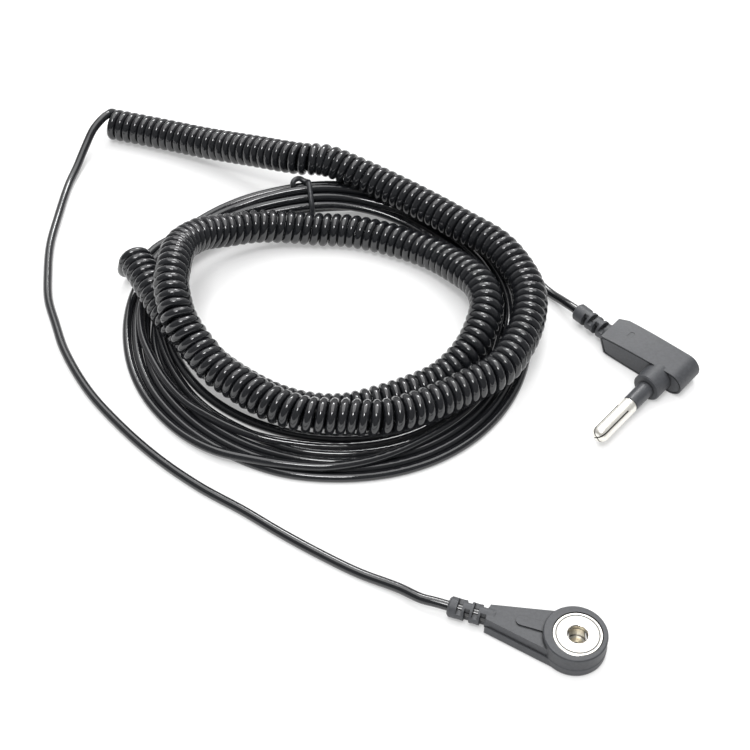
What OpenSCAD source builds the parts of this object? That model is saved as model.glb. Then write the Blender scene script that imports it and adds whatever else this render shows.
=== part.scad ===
// Coiled ground cord: a snap end for a 4 mm stud, a lead that falls into a curly cord,
// a put-away lead wound in loops, and a right-angle plug with a slotted 4 mm pin.
// Millimetres, +Z up. The origin is the centre of the snap head's underside.

/* [Cord] */
// Diameter of the cord's jacket
wire_d = 2.2; // [1.8:0.1:2.3]
// Diameter of the stranded conductor inside the jacket
core_d = 1; // [0.7:0.1:1.2]
// Outer diameter of the curly stretch
curl_od = 8.6; // [7.4:0.1:8.8]
// Curls along the curly stretch
curls = 70; // [40:1:72]
// Loops of the put-away lead
coil_loops = 7; // [3:1:7]
// Radius of the outermost loop
coil_r = 50; // [46:0.5:51]
// Step from one loop to the next
coil_step = 2.7; // [2.65:0.05:2.8]
// Diameter of the wire that ties the loops
tie_d = 1.2; // [0.8:0.1:1.2]

/* [Snap end] */
// Diameter of the moulded head
head_d = 13.5; // [13.2:0.1:16]
// Height of the moulded head
head_h = 5.9; // [5.8:0.1:7]
// Step from the head's ring down to the neck
ring_step = 1.3; // [0.8:0.1:1.4]
// Length of the neck from the head to the boot
neck_len = 12; // [11.6:0.1:16]
// Width of the neck at the boot
neck_w = 3.9; // [3.8:0.1:5.5]
// Outer diameter of the pressed socket
socket_d = 10.4; // [9.8:0.1:10.6]
// Diameter of the hole for the stud
stud_hole_d = 4.1; // [4.05:0.05:4.3]
// Length of the hole's turned-down lip
lip_len = 1; // [0.8:0.05:1.1]
// Thickness of the socket's sheet metal
sheet_t = 0.3; // [0.2:0.05:0.35]
// Diameter of the two retaining springs
spring_d = 0.5; // [0.4:0.05:0.6]
// How far each spring moves out when a stud passes
spring_travel = 0.45; // [0.3:0.05:0.5]
// Turn of the pressed socket in the head, in degrees
socket_turn = 19; // [0:1:180]

/* [Boots] */
// Diameter of the ribbed cord boots
boot_d = 4.4; // [4.2:0.1:5]
// Length of the snap end's boot
snap_boot_len = 8.4; // [8.2:0.1:12]
// Length of the plug's boot
plug_boot_len = 10.6; // [10.2:0.1:15]
// Width of each slot in a boot
slot_w = 1.2; // [0.8:0.1:1.3]
// Height of the web that joins two ribs
web_h = 1.6; // [1.4:0.1:2.2]
// Bend of the plug's boot away from the block, in degrees
boot_bend = 8; // [0:0.5:12]

/* [Plug] */
// Length of the block
block_len = 23; // [21:0.5:30]
// Depth of the block, along the pin
block_w = 8.1; // [7.6:0.1:10]
// Height of the block at the pin
block_h = 6.6; // [6.2:0.1:7]
// Height of the block at the boot
block_end_h = 5.4; // [5.1:0.1:6]
// Distance from the pin's axis to the block's round end
pin_inset = 6.5; // [5.8:0.1:8]
// Diameter of the collar round the pin
collar_d = 7; // [6:0.1:7]
// Length of the collar
collar_len = 4.7; // [3:0.1:7]
// Length of the insulating sleeve outside the collar
sleeve_len = 6.6; // [4:0.1:10]
// Diameter of the insulating sleeve
sleeve_d = 4; // [3.8:0.05:4.1]
// Diameter of the contact pin
pin_d = 4; // [3.95:0.05:4.2]
// Length of the bare contact pin
pin_len = 13.2; // [11:0.1:18]
// Diameter of the pin's shank inside the sleeve
shank_d = 2.4; // [2:0.1:2.8]
// Width of the pin's saw cuts
cut_w = 0.35; // [0.2:0.05:0.5]
// Whole pin between the sleeve and the saw cuts
cut_start = 3; // [2:0.25:5]

/* [Hidden] */

$fn = 48;
seat = 0.02;        // clearance of a moulded seat
free = 0.05;        // clearance of a piece that moves
over = 1;           // how far a cut runs past a face
moulded = [0.36, 0.37, 0.39];
inner_mould = [0.25, 0.25, 0.27];
cord_black = [0.09, 0.09, 0.1];
nickel = [0.9, 0.89, 0.86];
steel = [0.75, 0.75, 0.76];
copper = [0.8, 0.5, 0.3];
resistor_tan = [0.82, 0.7, 0.5];

// ---- Snap end: heights from the underside, lengths from the head's axis ----
snap_turn = 161;                            // the neck's direction, in degrees
head_r = head_d / 2;
head_shift = 0.45;                          // from the socket's centre to the head's
neck_top = head_h - ring_step;
neck_end = head_r + neck_len;
snap_end = neck_end + snap_boot_len;
snap_axis = 2.55;                           // height of the cord's axis
parting = 0.4 * head_h;                     // height of the mould's parting line
neck_flare = 0.65;                          // how far the lower half stands out
neck_slope = 0.216;                         // how fast each side draws in to the boot
socket_r = socket_d / 2;
hole_r = stud_hole_d / 2;
cap_top = head_h - 0.1;                     // the socket sits just below the ring
cap_under = cap_top - sheet_t;
lip_end = cap_top - lip_len;
spring_z = lip_end - 2 * free - spring_d / 2;
spring_x = hole_r - 0.25;                   // the springs show in the hole
flange_top = spring_z - spring_d / 2 - free;
flange_under = flange_top - sheet_t;
roll_under = flange_under - free - sheet_t; // the cap's edge, rolled under the flange
rim_r = socket_r - sheet_t - free;          // outside of the flange's upturned rim
bowl_r = hole_r + 0.25;                     // inside of the bowl that takes the stud
bowl_ro = bowl_r + sheet_t;
bowl_under = 1.5;
eyelet_r = 0.5;
eyelet_ro = 0.8;
eyelet_head_r = 1.5;
eyelet_t = 0.25;
terminal_t = 0.3;
terminal_top = bowl_under - seat;
terminal_w = 1.6;
puck_under = terminal_top - terminal_t - eyelet_t - 2 * seat;
puck_r = 4;
puck_top = roll_under - free;
bar_w = 3;
bar_h = 2.9;
bar_x = socket_r + 0.4;                     // where the bar rises, clear of the socket
barrel_x = head_r + 0.4;                    // the terminal's barrel round a lead
barrel_len = 2.2;
barrel_r = 0.75;
resistor_lead_d = 0.5;
resistor_d = 1.8;
resistor_len = 3.4;
resistor_x = barrel_x + barrel_len + 0.9;
sleeve_x = resistor_x + resistor_len + 0.8;
crimp_len = 2.6;
crimp_r = core_d / 2 + 0.3;
jacket_x = sleeve_x + crimp_len + 0.2;      // where the jacket ends in the neck
bar_end = jacket_x - seat;
snap_ring = 1.9;                            // whole ring at the boot's end
snap_clear = 0.2;                           // from the neck to the boot's first slot
snap_mouth = [snap_end * cos(snap_turn), snap_end * sin(snap_turn), snap_axis];
snap_way = [cos(snap_turn), sin(snap_turn), 0];

// ---- Plug: X along the block from the boot, -Y along the pin ----
plug_at = [15.7, 85.7, 0];
plug_turn = -41;
plug_axis = collar_d / 2;
end_r = block_h / 2;
taper_len = 0.55 * block_len;
pin_x = block_len - pin_inset;
face_y = -block_w / 2;
face_draft = 4.9;                           // lean of the near face, in degrees
far_y = block_w / 2 + 0.4;                  // the far side spreads to the boot
end_lean = 1;                               // how far the end face leans in below
collar_y = face_y - collar_len;
sleeve_y = collar_y - sleeve_len;
tip_y = sleeve_y - pin_len;
tip_round = 1.6;                            // length of the pin's domed nose
pin_r = pin_d / 2;
sleeve_r = sleeve_d / 2;
pin_ease = 0.3;                             // chamfers where the sleeve meets the pin
shank_r = shank_d / 2;
anchor_r = 2.2;                             // flange that anchors the pin
anchor_t = 1.2;
anchor_y = -0.4;
groove_in = 0.35;                           // the line round the near face
groove_w = 0.25;
groove_t = 0.25;
mark_at = [5.5, 0.5];                       // the oblong mark on the block's top
mark_w = 1.4;
mark_l = 0.9;
mark_t = 0.3;
tag_t = 0.4;
tag_w = 1.8;
spigot_r = 0.8;
tag_barrel_x = 4.2;                         // depth of the tag's barrel in the block
tag_barrel_len = 3;
tag_barrel_r = core_d / 2 + 0.3;
core_wall = 1;                              // wall of the block round its core
core_x = 3.6;
plug_jacket_in = 3.4;                       // how deep the jacket runs into the block
plug_ring = 3.1;
plug_clear = 0.9;
boot_way = [cos(180 - boot_bend + plug_turn), sin(180 - boot_bend + plug_turn), 0];
plug_mouth = plug_at + [0, 0, plug_axis] + plug_boot_len * boot_way;

// ---- Cord routes: hand-set points, heights of the cord's own axis ----
curl_r = (curl_od - wire_d) / 2;
rings_per_curl = 8;
rings_per_loop = 24;
layer_gap = 0.45;
coil_centre = [-52, 93];
coil_from = 125;                            // where the first loop starts, degrees
coil_turns = coil_loops + 0.25;
coil_inside = coil_r - coil_turns / 2 * coil_step;
floor_z = wire_d / 2;
lead_gap = 0.06;                            // between a lead's end and its jacket's
tie_at = 100;                               // where the tie crosses, degrees
tie_gap = 0.2;
tie_bend = 1.6;
tie_spread = 18;                            // half width of the rise over the tie
tie_rise = tie_d + tie_gap;
curl_start = [-116, 163.8, 7.5];
curl_end = [-103.7, 104.7, 7.4];

snap_route = [curl_start, [-118, 161, 6.6], [-120, 156.5, 4.4], [-122, 150, 2],
    [-123.5, 143.5, 1.2], [-124.5, 131.5, 1.1], [-125, 120, 1.1], [-124, 109, 1.1],
    [-122.5, 100, 1.1], [-119.5, 91.5, 1.1], [-116, 82.5, 1.1], [-108.5, 69.5, 1.1],
    [-99.5, 58.5, 1.1], [-90, 49, 1.1], [-80, 41, 1.1], [-70, 34.5, 1.1],
    [-61.5, 28.5, 1.1], [-53, 23, 1.1], [-44.5, 18, 1.2], [-36, 13.8, 1.8],
    snap_mouth + 6 * snap_way - [0, 0, 0.15], snap_mouth + 3 * snap_way,
    snap_mouth + lead_gap * snap_way];

curl_route = [[-114.5, 165.5, 4.5], [-100, 160.5, 5], [-86.5, 154.5, 6.5],
    [-73, 147.5, 9.5], [-60.5, 141, 12.3], [-54, 140, 12.6], [-46, 136.5, 11.5],
    [-38.5, 132.5, 10.5], [-28.5, 125.5, 10], [-19.5, 118, 10], [-10, 109.5, 9.9],
    [-4.5, 98.5, 9.5], [-3.5, 92, 9.5], [-5, 83, 9.5], [-8, 75.5, 9.5],
    [-12.5, 68.5, 9.5], [-19, 64, 9.5], [-28, 58, 10], [-39, 53, 11],
    [-47.5, 53, 11.2], [-56.5, 53.5, 11.4], [-64, 56.5, 11.6], [-68.5, 59.5, 11.8],
    [-73, 63, 12], [-77.5, 66.5, 12.6], [-81, 70.5, 14], [-84, 74, 15.8],
    [-86.5, 78, 17.6], [-88, 83, 18.5], [-89, 88, 18.6], [-89, 93, 18.3], [-89, 99, 17],
    [-88.4, 104.9, 15], [-86.8, 108.7, 13.5], [-84.3, 112.3, 12], [-78.9, 116.8, 9],
    [-71.5, 120.5, 7], [-63.5, 122, 5.5], [-55.5, 122, 4.6], [-47.5, 121.5, 4.5],
    [-36.5, 118, 4.6], [-26.5, 112, 5.5], [-20.5, 105.5, 7], [-15.5, 98, 8.6],
    [-14, 91, 8.9], [-15, 85.5, 8.5], [-18.5, 77.5, 7], [-25, 70.5, 5],
    [-32, 66.5, 4.5], [-40, 63, 4.5], [-48, 60.5, 4.5], [-57, 61, 4.5],
    [-65, 64, 4.5], [-72.5, 69, 4.5], [-78.5, 74, 4.8], [-83, 78.5, 6],
    [-86, 81, 8], [-88.5, 83.5, 9.4], [-91.5, 88.5, 9.5], [-95.5, 96.5, 9.5],
    [-100.5, 105.5, 9.5]];

link_route = [curl_end, [-104.1, 105.6, 5.2], [-103.6, 107.6, 3], [-102.4, 110.4, 1.5],
    [-100.5, 114, 1.1], [-96.5, 120, 1.1], [-90.5, 127, 1.1]];

// ---- Vectors, curves and swept tubes ----
function unit(v) = v / norm(v);
function across(u, t) = unit(u - (u * t) * t);
function tangents(p) =
    let (last = len(p) - 1)
    [for (i = [0:last]) unit(p[min(i + 1, last)] - p[max(i - 1, 0)])];

// A smooth curve through hand-set points, with n steps between two of them
function bend(a, b, c, d, t) =
    0.5 * (2 * b + (c - a) * t + (2 * a - 5 * b + 4 * c - d) * t * t
    + (3 * b - a - 3 * c + d) * t * t * t);
function curve(p, n = 8) =
    let (last = len(p) - 1)
    concat([for (i = [0:last - 1], k = [0:n - 1])
        bend(p[max(i - 1, 0)], p[i], p[i + 1], p[min(i + 2, last)], k / n)], [p[last]]);

// The same curve as tables of x, y and z against the length run so far
function runs(p) =
    [for (i = 0, s = 0; i < len(p);
        i = i + 1, s = i < len(p) ? s + norm(p[i] - p[i - 1]) : s) s];
function tables(p) =
    let (s = runs(p))
    [for (k = [0:2]) [for (i = [0:len(p) - 1]) [s[i], p[i][k]]]];
function total(p) = let (s = runs(p)) s[len(s) - 1];
function place(tab, s) = [lookup(s, tab[0]), lookup(s, tab[1]), lookup(s, tab[2])];
function evenly(p, step) =
    let (l = total(p), n = ceil(l / step), tab = tables(p))
    [for (i = [0:n]) place(tab, l * i / n)];

module tube(path, d, sides) {
    way = tangents(path);
    last = len(path) - 1;
    side = [for (i = 0, u = across([0, 0, 1], way[0]); i <= last;
        i = i + 1, u = i <= last ? across(u, way[i]) : u) u];
    points = [for (i = [0:last], k = [0:sides - 1])
        let (a = 360 * k / sides)
        path[i] + d / 2 * (cos(a) * side[i] + sin(a) * cross(way[i], side[i]))];
    walls = [for (i = [0:last - 1], k = [0:sides - 1])
        let (a = i * sides + k, b = i * sides + (k + 1) % sides)
        each [[a, a + sides, b + sides], [a, b + sides, b]]];
    caps = [for (k = [1:sides - 2])
        each [[0, k, k + 1], [last * sides, last * sides + k + 1, last * sides + k]]];
    polyhedron(points = points, faces = concat(walls, caps));
}

// Least gap of a tube to itself, between points further apart along it than skip
function least_gap(p, d, skip) =
    min([for (i = [0:len(p) - skip - 1]) min([for (j = [i + skip:len(p) - 1])
        norm(p[i] - p[j])])]) - d;

// ---- Snap end ----
module at_snap() {
    rotate([0, 0, snap_turn]) children();
}

module along_x(x, z) {
    translate([x, 0, z]) rotate([0, 90, 0]) children();
}

// One cut through the neck: half width low at the parting line, high above it
module neck_slice(x, w, z0, z1, low, high, ease) {
    thin = 0.02;
    translate([x, 0, 0]) rotate([90, 0, 90]) linear_extrude(thin)
        polygon([[-w / 2 - low + ease, z0], [w / 2 + low - ease, z0], [w / 2 + low, z0 + ease],
            [w / 2 + high, z1], [-w / 2 - high, z1], [-w / 2 - low, z0 + ease]]);
}

module neck() {
    ledge = 0.4;
    root_w = neck_w + 2 * neck_slope * (neck_end - head_shift);
    hull() {
        neck_slice(head_shift, root_w, 0, parting, neck_flare, ledge, 0.5);
        neck_slice(neck_end, neck_w, 0.1, parting, neck_flare, ledge, 0.5);
    }
    hull() {
        neck_slice(head_shift, root_w, parting - 0.5, neck_top, 0, -0.1, 0);
        neck_slice(neck_end, neck_w, parting - 0.5, neck_top, 0, -0.1, 0);
    }
}

module head() {
    ease = 0.8;
    draft = 0.12;
    translate([head_shift, 0, 0]) rotate_extrude($fn = 96) polygon(concat(
        [[0, 0]],
        [for (a = [0:15:90]) [head_r - ease + ease * sin(a) - 0.05, ease - ease * cos(a)]],
        [[head_r, parting], [head_r - draft, parting + 0.3], [head_r - draft, head_h - 0.25],
            [head_r - draft - 0.25, head_h], [0, head_h]]));
}

module neck_rib() {
    rib_w = 2.2;
    rib_h = 0.35;
    rib_end = head_r + 5;
    translate([rib_end, 0, neck_top - over]) cylinder(d = rib_w, h = over + rib_h);
    translate([head_r - 1, -rib_w / 2, neck_top - over])
        cube([rib_end - head_r + 1, rib_w, over + rib_h]);
}

// A boot's slots, from its end ring inwards: by turns over and under, and at both sides
module boot_slots(length, ring, clear, from_top) {
    count = 4;
    reach = boot_d;
    step = (length - ring - slot_w - clear) / (count - 1);
    for (i = [0:count - 1], s = [-1, 1]) {
        top = (i % 2 == 0) == from_top;
        translate([length - ring - slot_w - i * step,
            top ? -reach : (s > 0 ? web_h / 2 : -reach),
            top ? (s > 0 ? web_h / 2 : -reach) : -reach])
            cube([slot_w, top ? 2 * reach : reach - web_h / 2,
                top ? reach - web_h / 2 : 2 * reach]);
    }
}

module boot(length) {
    ease = 0.4;
    root = 1.5;
    rotate([0, 90, 0]) rotate_extrude() polygon([[0, -root], [boot_d / 2, -root],
        [boot_d / 2, length - ease], [boot_d / 2 - ease, length], [0, length]]);
}

module snap_boot() {
    translate([neck_end, 0, snap_axis]) difference() {
        boot(snap_boot_len);
        boot_slots(snap_boot_len, snap_ring, snap_clear, true);
    }
}

module core_shape(g) {
    translate([0, 0, puck_under - g]) cylinder(r = puck_r + g, h = puck_top - puck_under + g);
    translate([0, -bar_w / 2 - g, puck_under - g])
        cube([bar_end + g, bar_w + 2 * g, puck_top - puck_under + g]);
    translate([bar_x - g, -bar_w / 2 - g, puck_under - g])
        cube([bar_end - bar_x + 2 * g, bar_w + 2 * g, bar_h + 2 * g]);
}

module snap_housing() {
    color(moulded) at_snap() difference() {
        union() {
            head();
            neck();
            neck_rib();
            snap_boot();
        }
        core_shape(seat);
        translate([0, 0, puck_top]) cylinder(r = socket_r + seat, h = head_h);
        along_x(bar_end - over, snap_axis) cylinder(d = wire_d, h = snap_boot_len + 4 * over);
    }
}

module snap_core() {
    color(inner_mould) at_snap() difference() {
        core_shape(0);
        translate([0, 0, bowl_under - seat]) cylinder(r = bowl_ro + seat, h = head_h);
        terminal_shape(seat);
        translate([0, 0, puck_under - over])
            cylinder(r = eyelet_head_r + seat, h = over + eyelet_t + 2 * seat);
        along_x(barrel_x - terminal_t - seat, snap_axis)
            cylinder(r = barrel_r + seat, h = barrel_len + terminal_t + seat);
        along_x(barrel_x, snap_axis) cylinder(d = resistor_lead_d + 2 * seat, h = bar_end);
        along_x(resistor_x - seat, snap_axis)
            cylinder(d = resistor_d + 2 * seat, h = resistor_len + 2 * seat);
        along_x(sleeve_x - seat, snap_axis)
            cylinder(r = crimp_r + seat, h = crimp_len + 2 * seat);
        along_x(sleeve_x, snap_axis) cylinder(d = core_d + 2 * seat, h = bar_end);
    }
}

// Pressed cap: domed edge, shallow groove, lip round the stud hole, edge rolled under
module socket_cap() {
    ease = 0.25;
    groove = 0.08;
    groove_r = socket_r - 0.75;
    color(nickel) at_snap() rotate_extrude($fn = 96) polygon([
        [hole_r, lip_end], [hole_r + sheet_t, lip_end], [hole_r + sheet_t, cap_under],
        [socket_r - sheet_t, cap_under], [socket_r - sheet_t, roll_under + sheet_t],
        [socket_r - 1, roll_under + sheet_t], [socket_r - 1, roll_under],
        [socket_r - ease, roll_under], [socket_r, roll_under + ease],
        [socket_r, cap_top - ease], [socket_r - ease * 0.3, cap_top - ease * 0.3],
        [socket_r - ease, cap_top], [groove_r + 0.15, cap_top],
        [groove_r + 0.05, cap_top - groove], [groove_r - 0.05, cap_top - groove],
        [groove_r - 0.15, cap_top], [hole_r + ease, cap_top],
        [hole_r + 0.3 * ease, cap_top - 0.3 * ease], [hole_r, cap_top - ease]]);
}

// Pressed base: a flange with an upturned rim round the bowl that takes the stud
module socket_base() {
    rim_top = cap_under - free;
    color(nickel) at_snap() rotate_extrude($fn = 96) polygon([
        [eyelet_ro + seat, bowl_under], [bowl_ro, bowl_under], [bowl_ro, flange_under],
        [rim_r, flange_under], [rim_r, rim_top], [rim_r - sheet_t, rim_top],
        [rim_r - sheet_t, flange_top], [bowl_r, flange_top],
        [bowl_r, bowl_under + sheet_t], [eyelet_ro + seat, bowl_under + sheet_t]]);
}

module spring(side) {
    reach = rim_r - sheet_t - free;
    far = spring_x + spring_travel + spring_d / 2;
    length = 2 * sqrt(reach * reach - far * far);
    color(steel) rotate([0, 0, snap_turn + socket_turn])
        translate([side * spring_x, 0, spring_z]) rotate([90, 0, 0])
            cylinder(d = spring_d, h = length, center = true, $fn = 24);
}

module spring_left() {
    spring(1);
}

module spring_right() {
    spring(-1);
}

module eyelet() {
    low = terminal_top - terminal_t - eyelet_t - seat;
    high = bowl_under + sheet_t + seat;
    color(copper) at_snap() rotate_extrude() polygon([
        [eyelet_r, low], [eyelet_head_r, low], [eyelet_head_r, low + eyelet_t],
        [eyelet_ro, low + eyelet_t], [eyelet_ro, high], [eyelet_head_r, high],
        [eyelet_head_r, high + eyelet_t], [eyelet_r, high + eyelet_t]]);
}

module terminal_shape(g) {
    ring_r = 2.4;
    under = terminal_top - terminal_t - g;
    translate([0, 0, under]) cylinder(r = ring_r + g, h = terminal_t + 2 * g);
    translate([0, -terminal_w / 2 - g, under])
        cube([barrel_x + g, terminal_w + 2 * g, terminal_t + 2 * g]);
    translate([barrel_x - terminal_t - g, -terminal_w / 2 - g, under])
        cube([terminal_t + 2 * g, terminal_w + 2 * g, snap_axis - under]);
}

module ring_terminal() {
    color(nickel) at_snap() difference() {
        union() {
            terminal_shape(0);
            along_x(barrel_x - terminal_t, snap_axis)
                cylinder(r = barrel_r, h = barrel_len + terminal_t - seat);
        }
        translate([0, 0, -over]) cylinder(r = eyelet_ro + seat, h = snap_axis + over);
        along_x(barrel_x - over, snap_axis)
            cylinder(d = resistor_lead_d + 2 * seat, h = barrel_len + 2 * over);
    }
}

module resistor_body() {
    ease = 0.3;
    color(resistor_tan) at_snap() along_x(resistor_x, snap_axis) rotate_extrude()
        polygon([[0, 0], [resistor_d / 2 - ease, 0], [resistor_d / 2, ease],
            [resistor_d / 2, 2.5 * ease], [resistor_d / 2 - 0.1, 3 * ease],
            [resistor_d / 2 - 0.1, resistor_len - 3 * ease],
            [resistor_d / 2, resistor_len - 2.5 * ease],
            [resistor_d / 2, resistor_len - ease],
            [resistor_d / 2 - ease, resistor_len], [0, resistor_len]]);
}

module resistor_leads() {
    color(steel) at_snap() {
        along_x(barrel_x + 0.1, snap_axis)
            cylinder(d = resistor_lead_d, h = resistor_x - barrel_x - 0.1);
        along_x(resistor_x + resistor_len, snap_axis)
            cylinder(d = resistor_lead_d, h = sleeve_x + 1.2 - resistor_x - resistor_len);
    }
}

module crimp_sleeve() {
    color(nickel) at_snap() along_x(sleeve_x, snap_axis) difference() {
        cylinder(r = crimp_r, h = crimp_len);
        translate([0, 0, -over]) cylinder(d = core_d + 2 * seat, h = crimp_len + 2 * over);
    }
}

module snap_conductor() {
    start = sleeve_x + 1.3;
    color(copper) at_snap() along_x(start, snap_axis) cylinder(d = core_d, h = snap_end - start);
}

module snap_jacket() {
    color(cord_black) at_snap() along_x(jacket_x, snap_axis) difference() {
        cylinder(d = wire_d, h = snap_end - jacket_x);
        translate([0, 0, -over]) cylinder(d = core_d + 2 * seat, h = snap_end);
    }
}

// ---- Cords ----
module snap_lead() {
    color(cord_black) tube(evenly(curve(snap_route), 2.5 * wire_d), wire_d, 8);
}

// Left-handed curls round the route, from the top at one end to the side at the other
function curl_path() =
    let (axis = curve(curl_route), l = total(axis), tab = tables(axis),
        n = curls * rings_per_curl + rings_per_curl / 4)
    concat([curl_start], [for (i = [0:n])
        let (s = l * i / n, f = 360 * i / rings_per_curl,
            way = unit(place(tab, min(s + 1, l)) - place(tab, max(s - 1, 0))),
            right = unit(cross(way, [0, 0, 1])), up = cross(right, way))
        place(tab, s) + curl_r * (cos(f) * up - sin(f) * right)], [curl_end]);

module curly_cord() {
    path = curl_path();
    echo(curly_least_gap = least_gap(path, wire_d, rings_per_curl / 2 + 1));
    color(cord_black) tube(path, wire_d, 6);
}

// Loops run in along the floor, climb in the half turn where they reverse, and run out
function coil_point(t) =
    let (leg = coil_turns / 2, a = coil_from - 360 * t,
        r = coil_inside + abs(t - leg) * coil_step,
        u = min(max(2 * (t - leg) + 0.5, 0), 1),
        off = abs((a - tie_at) - 360 * round((a - tie_at) / 360)) / tie_spread,
        z = floor_z + (wire_d + layer_gap) * u * u * (3 - 2 * u) + tie_rise * exp(-off * off))
    [coil_centre[0] + r * cos(a), coil_centre[1] + r * sin(a), z];

function coil_path() =
    let (n = round(coil_turns * rings_per_loop), step = coil_turns / n,
        end = coil_point(coil_turns), way = unit(end - coil_point(coil_turns - step / 2)))
    concat(link_route, [for (i = [0:n]) coil_point(i * step)], [end + 1.2 * wire_d * way]);

module lead_coil() {
    path = coil_path();
    echo(coil_least_gap = least_gap(path, wire_d, rings_per_loop / 2));
    color(cord_black) tube(path, wire_d, 6);
}

module twist_tie() {
    inner = coil_inside - wire_d / 2 - tie_gap - tie_d / 2;
    outer = coil_r + wire_d / 2 + tie_gap + tie_d / 2;
    low = tie_d / 2;
    high = 2 * wire_d + layer_gap + tie_rise + tie_gap + tie_d / 2;
    corners = [[inner, low, 180], [outer, low, 270], [outer, high, 0], [inner, high, 90]];
    color(cord_black) translate([coil_centre[0], coil_centre[1], 0]) rotate([0, 0, tie_at]) {
        for (c = corners) {
            x = c[0] + (c[0] == inner ? tie_bend : -tie_bend);
            z = c[1] + (c[1] == low ? tie_bend : -tie_bend);
            translate([x, 0, z]) rotate([90, 0, 0]) rotate([0, 0, c[2]])
                rotate_extrude(angle = 90) translate([tie_bend, 0]) circle(d = tie_d, $fn = 20);
        }
        for (z = [low, high])
            along_x(inner + tie_bend, z)
                cylinder(d = tie_d, h = outer - inner - 2 * tie_bend, $fn = 20);
        for (x = [inner, outer])
            translate([x, 0, low + tie_bend])
                cylinder(d = tie_d, h = high - low - 2 * tie_bend, $fn = 20);
    }
}

module plug_lead() {
    path = coil_path();
    last = len(path) - 1;
    start = path[last];
    route = [start, start + 3 * unit(start - path[last - 1]), [-4.5, 112.5, 3],
        [1.5, 104.5, 2], [5, 99.8, 2.4], plug_mouth + 5 * boot_way - [0, 0, 0.1],
        plug_mouth + 2.5 * boot_way, plug_mouth + lead_gap * boot_way];
    color(cord_black) tube(evenly(curve(route), 2.5 * wire_d), wire_d, 8);
}

// ---- Plug ----
module at_plug() {
    translate(plug_at) rotate([0, 0, plug_turn]) children();
}

module along_pin(y) {
    translate([pin_x, y, plug_axis]) rotate([90, 0, 0]) children();
}

module at_boot() {
    translate([0, 0, plug_axis]) rotate([0, 0, 180 - boot_bend]) children();
}

// Along the cord's axis, from a distance outside the block's end face
module from_boot(x) {
    at_boot() translate([x, 0, 0]) rotate([0, 90, 0]) children();
}

// Side view of the block, grown by g: round at the pin, drawn in towards the boot
module block_outline(g = 0) {
    drop = (block_h - block_end_h) / 2;
    steps = 8;
    taper = [for (i = [0:steps]) let (u = i / steps)
        [taper_len * u, end_r + g - drop * (1 - u) * (1 - u)]];
    foot = end_lean - g;
    low = [for (i = [steps:-1:0]) if (taper[i][0] > foot) [taper[i][0], -taper[i][1]]];
    translate([block_len - end_r, 0]) circle(r = end_r + g, $fn = 96);
    polygon(concat([[-g, end_r + g - drop]], [for (i = [1:steps]) taper[i]],
        [[block_len - end_r, end_r + g], [block_len - end_r, -end_r - g]], low,
        [[foot, drop - end_r - g], [-0.25 * end_lean - g, end_r - drop - 1]]));
}

// Puts flat shapes on the near face, which leans in towards its foot
module on_face(depth) {
    top = plug_axis + end_r;
    translate([0, face_y, top]) rotate([face_draft, 0, 0])
        translate([0, depth, plug_axis - top]) rotate([90, 0, 0]) children();
}

module block() {
    far_in = 0.9;
    far_len = 2.4;
    difference() {
        translate([0, far_y, plug_axis]) rotate([90, 0, 0])
            linear_extrude(far_y - face_y) block_outline();
        on_face(0) translate([-over, -block_h, 0]) cube([block_len + 2 * over, 2 * block_h, block_w]);
        translate([0, 0, -over]) linear_extrude(block_h + 3 * over) polygon([
            [-over, far_y - far_in * (1 + over / far_len)], [far_len, far_y],
            [block_len + over, far_y - 0.5], [block_len + over, far_y + over],
            [-over, far_y + over]]);
        on_face(groove_t) linear_extrude(groove_t + over) difference() {
            block_outline(-groove_in);
            block_outline(-groove_in - groove_w);
        }
        translate([mark_at[0], mark_at[1], plug_axis + end_r - mark_t]) mark(mark_t + over);
    }
}

// An oblong mark sunk in the block's top
module mark(height) {
    for (s = [-1, 1])
        translate([0, s * mark_l / 2, 0]) cylinder(d = mark_w, h = height, $fn = 24);
    translate([-mark_w / 2, -mark_l / 2, 0]) cube([mark_w, mark_l, height]);
}

module plug_core_shape(g) {
    wide = block_w - 2 * core_wall;
    high = block_h - 2 * core_wall;
    translate([core_x - g, -wide / 2 - g, plug_axis - high / 2 - g])
        cube([pin_x - core_x + g, wide + 2 * g, high + 2 * g]);
    translate([pin_x, wide / 2 + g, plug_axis]) rotate([90, 0, 0])
        cylinder(d = high + 2 * g, h = wide + 2 * g);
}

module plug_housing() {
    ease = 0.3;
    color(moulded) at_plug() difference() {
        union() {
            block();
            along_pin(face_y + over) rotate_extrude() polygon([[0, 0], [collar_d / 2, 0],
                [collar_d / 2, collar_len + over - ease],
                [collar_d / 2 - ease, collar_len + over], [0, collar_len + over]]);
            at_boot() difference() {
                boot(plug_boot_len);
                boot_slots(plug_boot_len, plug_ring, plug_clear, false);
            }
        }
        plug_core_shape(seat);
        along_pin(0) cylinder(r = sleeve_r + seat, h = over + collar_len + block_w);
        from_boot(-plug_jacket_in) cylinder(d = wire_d, h = plug_boot_len + 2 * plug_jacket_in);
        from_boot(-tag_barrel_x) cylinder(d = core_d + 2 * seat, h = tag_barrel_x);
    }
}

module plug_core() {
    color(inner_mould) at_plug() difference() {
        plug_core_shape(0);
        along_pin(anchor_y - anchor_t) cylinder(r = sleeve_r + seat, h = block_w);
        along_pin(anchor_y + seat) cylinder(r = anchor_r + seat, h = anchor_t + 2 * seat);
        tag_shape(seat);
        along_pin(1) cylinder(r = spigot_r + 0.6 + seat, h = over);
        from_boot(-tag_barrel_x - tag_barrel_len)
            cylinder(d = core_d + 2 * seat, h = tag_barrel_x + tag_barrel_len);
    }
}

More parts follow.
